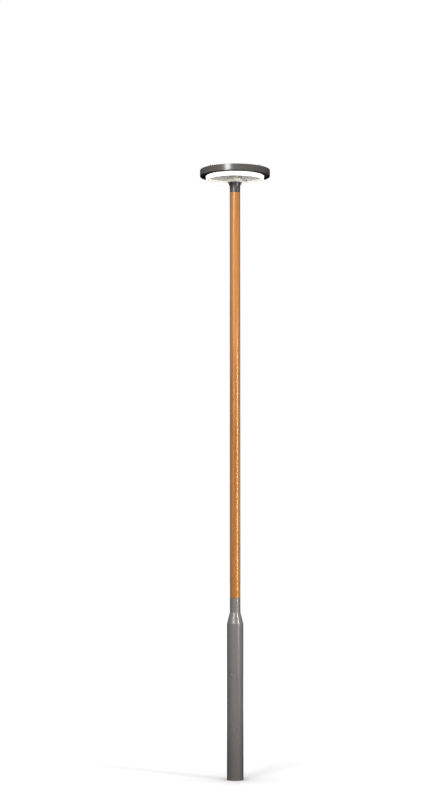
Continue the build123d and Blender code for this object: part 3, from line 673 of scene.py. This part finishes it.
def pillar(name, radius, low, high, x=0.0, y=0.0, steps=24):
    """Capped cylinder, used as a cutter or a boss."""
    build = bmesh.new()
    bmesh.ops.create_cone(build, cap_ends=True, segments=steps, radius1=radius, radius2=radius,
                          depth=high - low, matrix=Matrix.Translation((x, y, (low + high) / 2)))
    return as_object(name, mesh_from(build, name))


def spoke(name, radius, near, far, angle, height, steps=20):
    """Cylinder along a radius, used as a cutter."""
    piece = pillar(name, radius, near, far, steps=steps)
    tip = Matrix.Rotation(math.radians(90), 4, "Y")
    piece.data.transform(Matrix.Translation((0, 0, height)) @ Matrix.Rotation(angle, 4, "Z") @ tip)
    return piece


def set_screw_holes(name, near, far, angles, height):
    """Cutters for set-screw holes at angles in degrees round the post."""
    return [spoke(name, SET_SCREW_HOLE_R, near, far, math.radians(angle), height) for angle in angles]


def door_block(name, inset):
    """Rounded-rectangle block through the tube where the door is, smaller by an inset."""
    half_w, low, high = DOOR_WIDTH / 2 - inset, DOOR_LOW + inset, DOOR_HIGH - inset
    corner = DOOR_CORNER - inset
    outline = rounded([(-half_w, low, corner), (half_w, low, corner), (half_w, high, corner),
                       (-half_w, high, corner)], 12)
    build = bmesh.new()
    front = [build.verts.new((x, -CUTTER_FAR, z)) for x, z in outline]
    back = [build.verts.new((x, -CUTTER_NEAR, z)) for x, z in outline]
    build.faces.new(front)
    build.faces.new(list(reversed(back)))
    for index in range(len(outline)):
        following = (index + 1) % len(outline)
        build.faces.new((front[index], back[index], back[following], front[following]))
    bmesh.ops.recalc_face_normals(build, faces=build.faces)
    mesh = mesh_from(build, name)
    mesh.transform(Matrix.Rotation(DOOR_TURN, 4, "Z"))
    return as_object(name, mesh)


def join_mesh(piece, mesh):
    """Adds another mesh's faces to a piece as a separate shell."""
    build = bmesh.new()
    build.from_mesh(piece.data)
    build.from_mesh(mesh)
    build.to_mesh(piece.data)
    build.free()


def stand_in(piece, node):
    """The piece takes the place, body and finish of a CAD node."""
    record = frame["record"]
    slot_name = next(entry["material_slot"] for entry in record["subparts"] if entry["node"] == node)
    bodies = record["behaviour"]["bodies"]
    body = next(name for name, members in bodies.items() if node in members)
    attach(piece, body)
    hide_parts(node)
    piece.data.materials.clear()
    piece.data.materials.append(looks[slot_name])


# ---------------------------------------------------------------- the post
def make_foot_plate():
    """Plate inside the tube's outline, with a cable entry and four anchor holes."""
    plate = turned("foot_plate", rounded(
        [(BORE_R, 0.0, 0), (TUBE_R, 0.0, 0.0006), (TUBE_R, TUBE_LOW, 0.0008),
         (BORE_R, TUBE_LOW, 0.001)], 3))
    holes = []
    for quarter in range(4):
        angle = math.radians(45 + 90 * quarter)
        holes.append(pillar("anchor_hole", ANCHOR_HOLE_R, -0.01, TUBE_LOW + 0.01,
                            ANCHOR_REACH * math.cos(angle), ANCHOR_REACH * math.sin(angle)))
    cut(plate, holes)
    smooth(plate)
    stand_in(plate, "base_plate")


def make_tube():
    """Steel foot tube with the door opening."""
    tube = turned("foot_tube", box_outline(TUBE_R - TUBE_WALL, TUBE_R, TUBE_LOW, TUBE_TOP, 0.0006))
    cut(tube, [door_block("door_cutter", -DOOR_GAP)])
    ease_edges(tube, 0.0004)
    smooth(tube)
    stand_in(tube, "base_tube")


def make_door():
    """Curved service door, flush with the tube, with a hole for the lock."""
    door = turned("door_panel", box_outline(
        TUBE_R - TUBE_WALL, TUBE_R, DOOR_LOW - 0.05, DOOR_HIGH + 0.05, 0.0))
    cut(door, [door_block("door_keeper", 0.0)], "INTERSECT")
    cut(door, [spoke("lock_hole", LOCK_HOLE_R, TUBE_R * 0.5, CUTTER_FAR,
                     DOOR_TURN - math.pi / 2, LOCK_Z, 48)])
    ease_edges(door, 0.0006)
    smooth(door)
    stand_in(door, "service_door")


def make_cone():
    """Cone from the tube's diameter to the mast's."""
    cone = turned("reducer", rounded(
        [(TUBE_R - TUBE_WALL, TUBE_TOP, 0), (TUBE_R, TUBE_TOP, 0.0006), (MAST_R, COLLAR_LOW, 0.0006),
         (MAST_R - TUBE_WALL, COLLAR_LOW, 0)], 2))
    smooth(cone, 20)
    stand_in(cone, "cone_reducer")


def make_collar():
    """Collar of the mast's diameter, with set-screw holes at the back."""
    collar = turned("collar", box_outline(MAST_R - TUBE_WALL, MAST_R, COLLAR_LOW, COLLAR_TOP, 0.0006))
    cut(collar, set_screw_holes("collar_hole", 0.035, 0.05, COLLAR_SCREWS, COLLAR_SCREW_Z))
    smooth(collar)
    stand_in(collar, "mast_collar")


def make_mast():
    """Timber mast with a tenon below and a bore for the spigot above."""
    spigot_low = TIMBER_TOP - SPIGOT_DEPTH
    mast = turned("mast", rounded(
        [(BORE_R, TIMBER_LOW, 0), (TENON_R, TIMBER_LOW, 0.002), (TENON_R, COLLAR_TOP, 0),
         (MAST_R, COLLAR_TOP, 0.0012), (MAST_R, TIMBER_TOP, 0.0012), (SPIGOT_BORE_R, TIMBER_TOP, 0),
         (SPIGOT_BORE_R, spigot_low, 0), (BORE_R, spigot_low, 0)], 3))
    cut(mast, set_screw_holes("tenon_hole", 0.0308, 0.0425, COLLAR_SCREWS, COLLAR_SCREW_Z))
    smooth(mast)
    stand_in(mast, "timber_mast")


# ---------------------------------------------------------------- the lantern
def make_neck():
    """Cast neck over the spigot, flaring to the flange under the cover."""
    flange_low = NECK_TOP - 0.01
    socket_top = NECK_TOP - 0.016
    waist = NECK_LOW + 0.028
    flare_r = MAST_R + 0.0055
    flare_steps = 16
    outline = rounded([(COLUMN_BORE_R, socket_top, 0), (SPIGOT_BORE_R, socket_top, 0),
                       (SPIGOT_BORE_R, NECK_LOW, 0), (MAST_R, NECK_LOW, 0.0008)], 3)
    rise = flange_low - waist
    for step in range(flare_steps + 1):
        share = step / flare_steps
        outline.append((MAST_R + (flare_r - MAST_R) * (1 - math.cos(share * math.pi / 2)) ** 1.15,
                        waist + rise * share))
    outline += rounded([(flare_r, flange_low, 0), (NECK_R, flange_low, 0.001), (NECK_R, NECK_TOP, 0.001),
                        (COLUMN_BORE_R, NECK_TOP, 0)], 3)
    neck = turned("neck", outline)
    cut(neck, set_screw_holes("neck_hole", 0.025, 0.05, NECK_SCREWS, NECK_SCREW_Z))
    smooth(neck, 28)
    stand_in(neck, "neck_casting")


def make_column():
    """Cream tube from the neck up through the lantern."""
    column = turned("column", rounded(
        [(COLUMN_BORE_R, COLUMN_LOW, 0), (COLUMN_R, COLUMN_LOW, 0.0008), (COLUMN_R, COLUMN_TOP, 0.0008),
         (COLUMN_BORE_R, COLUMN_TOP, 0)], 3))
    smooth(column)
    stand_in(column, "central_column")


def make_cover():
    """Shallow clear cover: flange, wall, flat base and a funnel down to the neck."""
    wall = COVER_WALL
    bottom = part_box("pressure_vent")[0][2] + 0.004
    side = COVER_R - COVER_FLANGE
    foot_z = NECK_TOP + 0.0015
    foot_r = NECK_R - 0.001
    hole_r = COLUMN_R + 0.007
    funnel_r = foot_r + 0.018
    corners = [(COVER_R, COVER_TOP, 0.0004), (COVER_R, COVER_TOP - wall, 0.0004),
               (side, COVER_TOP - wall, 0.0008), (side, bottom, 0.0155), (funnel_r, bottom, 0.0105),
               (foot_r, foot_z, 0.004), (hole_r, foot_z, 0.0004), (hole_r, foot_z + wall, 0.0004),
               (foot_r - wall * 0.9, foot_z + wall, 0.002),
               (funnel_r - wall * 0.4, bottom + wall, 0.0135),
               (side - wall, bottom + wall, 0.0125), (side - wall, COVER_TOP, 0.004)]
    cover = turned("cover", rounded(corners, 9), 256)
    smooth(cover, 40)
    stand_in(cover, "light_cover")


def make_rim():
    """Dark rim with a flat shelf below, a lip inside and eight bosses for the gear tray."""
    wall, shelf, lip, lip_thick = 0.004, 0.004, 0.02, 0.004
    inner = RIM_R - wall
    opening = COVER_R - COVER_FLANGE + 0.001
    lip_top = RIM_TOP - 0.008
    lip_low = lip_top - lip_thick
    shelf_top = RIM_LOW + shelf
    corners = [(RIM_R, RIM_LOW, 0.0022), (RIM_R, RIM_TOP, 0.0022), (inner, RIM_TOP, 0.0008),
               (inner, lip_top, 0), (inner - lip, lip_top, 0.0008), (inner - lip, lip_low, 0.0008),
               (inner, lip_low, 0.001), (inner, shelf_top, 0.001),
               (opening, shelf_top, 0.0006), (opening, RIM_LOW, 0.0012)]
    rim = turned("rim", rounded(corners, 4), 288)

    tray_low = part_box("gear_tray")[0][2]
    boss_low = shelf_top - 0.0005
    boss_hole_r, boss_low_r, boss_top_r = 0.00255, 0.0068, 0.006
    boss_outline = rounded([(boss_hole_r, boss_low, 0), (boss_low_r, boss_low, 0),
                            (boss_top_r, tray_low, 0.0005), (boss_hole_r, tray_low, 0.0003)], 2)
    reach = inner - 0.02
    for index in range(8):
        angle = math.radians(22.5 + 45 * index)
        boss = lathe_mesh("boss", boss_outline, 24)
        boss.transform(Matrix.Translation((reach * math.cos(angle), reach * math.sin(angle), 0)))
        join_mesh(rim, boss)
    smooth(rim)
    stand_in(rim, "rim_ring")
    # The rim's downward faces take the near-black painted shade as their second material.
    rim.data.materials.append(painted_underside_shade())
    for face in rim.data.polygons:
        faces_down = face.normal.z < -0.9 and face.center.z < RIM_LOW + 0.001
        if faces_down:
            face.material_index = 1


def make_lid():
    """Thin domed lid with a turned-down edge and two latch holes."""
    edge, seat, crown = spans("canopy_lid")
    rise = 0.023
    sheet = 0.003
    dome_steps, under_steps = 40, 20
    sphere = (edge ** 2 + rise ** 2) / (2 * rise)
    centre = crown - sphere
    inner = edge - 0.0175

    def dome(radius, drop=0.0):
        """Point of the dome at a radius, or of a shell below it by a drop."""
        return (radius, centre + math.sqrt((sphere - drop) ** 2 - radius ** 2))

    outline = [dome(edge * step / dome_steps) for step in range(dome_steps)]
    outline += rounded([dome(edge * (dome_steps - 0.5) / dome_steps) + (0,), dome(edge) + (0.0012,),
                        (edge, seat, 0.0008), (inner, seat, 0.0005), dome(inner, sheet) + (0,)], 3)
    outline += [dome(inner * (1 - step / under_steps), sheet) for step in range(1, under_steps + 1)]
    lid = turned("lid", outline, 256)
    for latch in ("latch_left", "latch_right"):
        joint = next(joint for joint in frame["joints"] if joint["child"] == latch)
        x, y, _ = joint["pos_m"]
        cut(lid, [pillar("latch_hole", 0.0062, seat - 0.01, crown + 0.01, x, y, 40)])
    smooth(lid, 30)
    stand_in(lid, "canopy_lid")


def make_lock_barrel():
    """Lock barrel with a domed collar round the key spindle, facing the service door's way."""
    low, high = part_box("door_lock_barrel")
    middle = Vector([(low[axis] + high[axis]) / 2 for axis in range(3)])
    radius = (high[2] - low[2]) / 2
    outward = Vector((math.sin(DOOR_TURN), -math.cos(DOOR_TURN), 0))
    face = TUBE_R + 0.0015
    depth = 2 * (face - middle.dot(outward))
    barrel = turned("lock_collar", rounded(
        [(LOCK_BORE_R, face - depth, 0), (radius, face - depth, 0.0004), (radius, face, 0.0018),
         (LOCK_BORE_R, face, 0.0005)], 6), 64)
    tip = Matrix.Rotation(math.radians(90), 4, "X")
    turn = Matrix.Rotation(DOOR_TURN, 4, "Z")
    barrel.data.transform(Matrix.Translation((0, 0, middle.z)) @ turn @ tip)
    smooth(barrel)
    stand_in(barrel, "door_lock_barrel")


def make_flat_rings():
    """The round flat pieces inside the lantern, turned finely."""
    led_board_width = 0.04
    bores = {"reflector_plate": COLUMN_R + 0.001, "led_board": spans("led_board")[0] - led_board_width,
             "gear_tray": 0.015, "cover_clamp_ring": 0.251, "cover_gasket": 0.252, "lid_gasket": 0.28,
             "neck_gasket": 0.0495}
    for node, bore in bores.items():
        outer, low, high = spans(node)
        piece = turned(node + "_disc", box_outline(bore, outer, low, high, 0.0003))
        smooth(piece)
        stand_in(piece, node)


def make_lens_ring():
    """Channel-section lens over the LEDs, open at the top."""
    outer, low, high = spans("led_lens_ring")
    side, base = 0.005, 0.003
    inner = outer - 0.028
    lens = turned("lens_channel", rounded(
        [(inner, low, 0.0025), (outer, low, 0.0025), (outer, high, 0), (outer - side, high, 0),
         (outer - side, low + base, 0.001), (inner + side, low + base, 0.001), (inner + side, high, 0),
         (inner, high, 0)], 4))
    smooth(lens)
    stand_in(lens, "led_lens_ring")


def make_leds():
    """Surface-mount LEDs: a square base with a shallow phosphor dome."""
    _, low, high = spans("leds")
    base_size, base_thick = 0.005, 0.0004
    dome_r, dome_top = 0.0021, high - 0.0003
    build = bmesh.new()
    for index in range(LED_COUNT):
        angle = 2 * math.pi * index / LED_COUNT
        place = (Matrix.Translation((LED_REACH * math.cos(angle), LED_REACH * math.sin(angle), 0))
                 @ Matrix.Rotation(angle, 4, "Z"))
        base = bmesh.ops.create_cube(build, size=1.0)["verts"]
        shape = (place @ Matrix.Translation((0, 0, high - 0.0002))
                 @ Matrix.Diagonal((base_size, base_size, base_thick, 1)))
        bmesh.ops.transform(build, matrix=shape, verts=base)
        dome = bmesh.ops.create_uvsphere(build, u_segments=20, v_segments=10, radius=1.0)["verts"]
        shape = (place @ Matrix.Translation((0, 0, dome_top))
                 @ Matrix.Diagonal((dome_r, dome_r, dome_top - low, 1)))
        bmesh.ops.transform(build, matrix=shape, verts=dome)
    piece = as_object("led_domes", mesh_from(build, "led_domes"))
    smooth(piece)
    stand_in(piece, "leds")


add_camera()
add_lights()
set_world()
add_studio()
looks = paint_frame()
make_foot_plate()
make_tube()
make_door()
make_cone()
make_collar()
make_mast()
make_neck()
make_column()
make_cover()
make_rim()
make_lid()
make_flat_rings()
make_lens_ring()
make_leds()
make_lock_barrel()
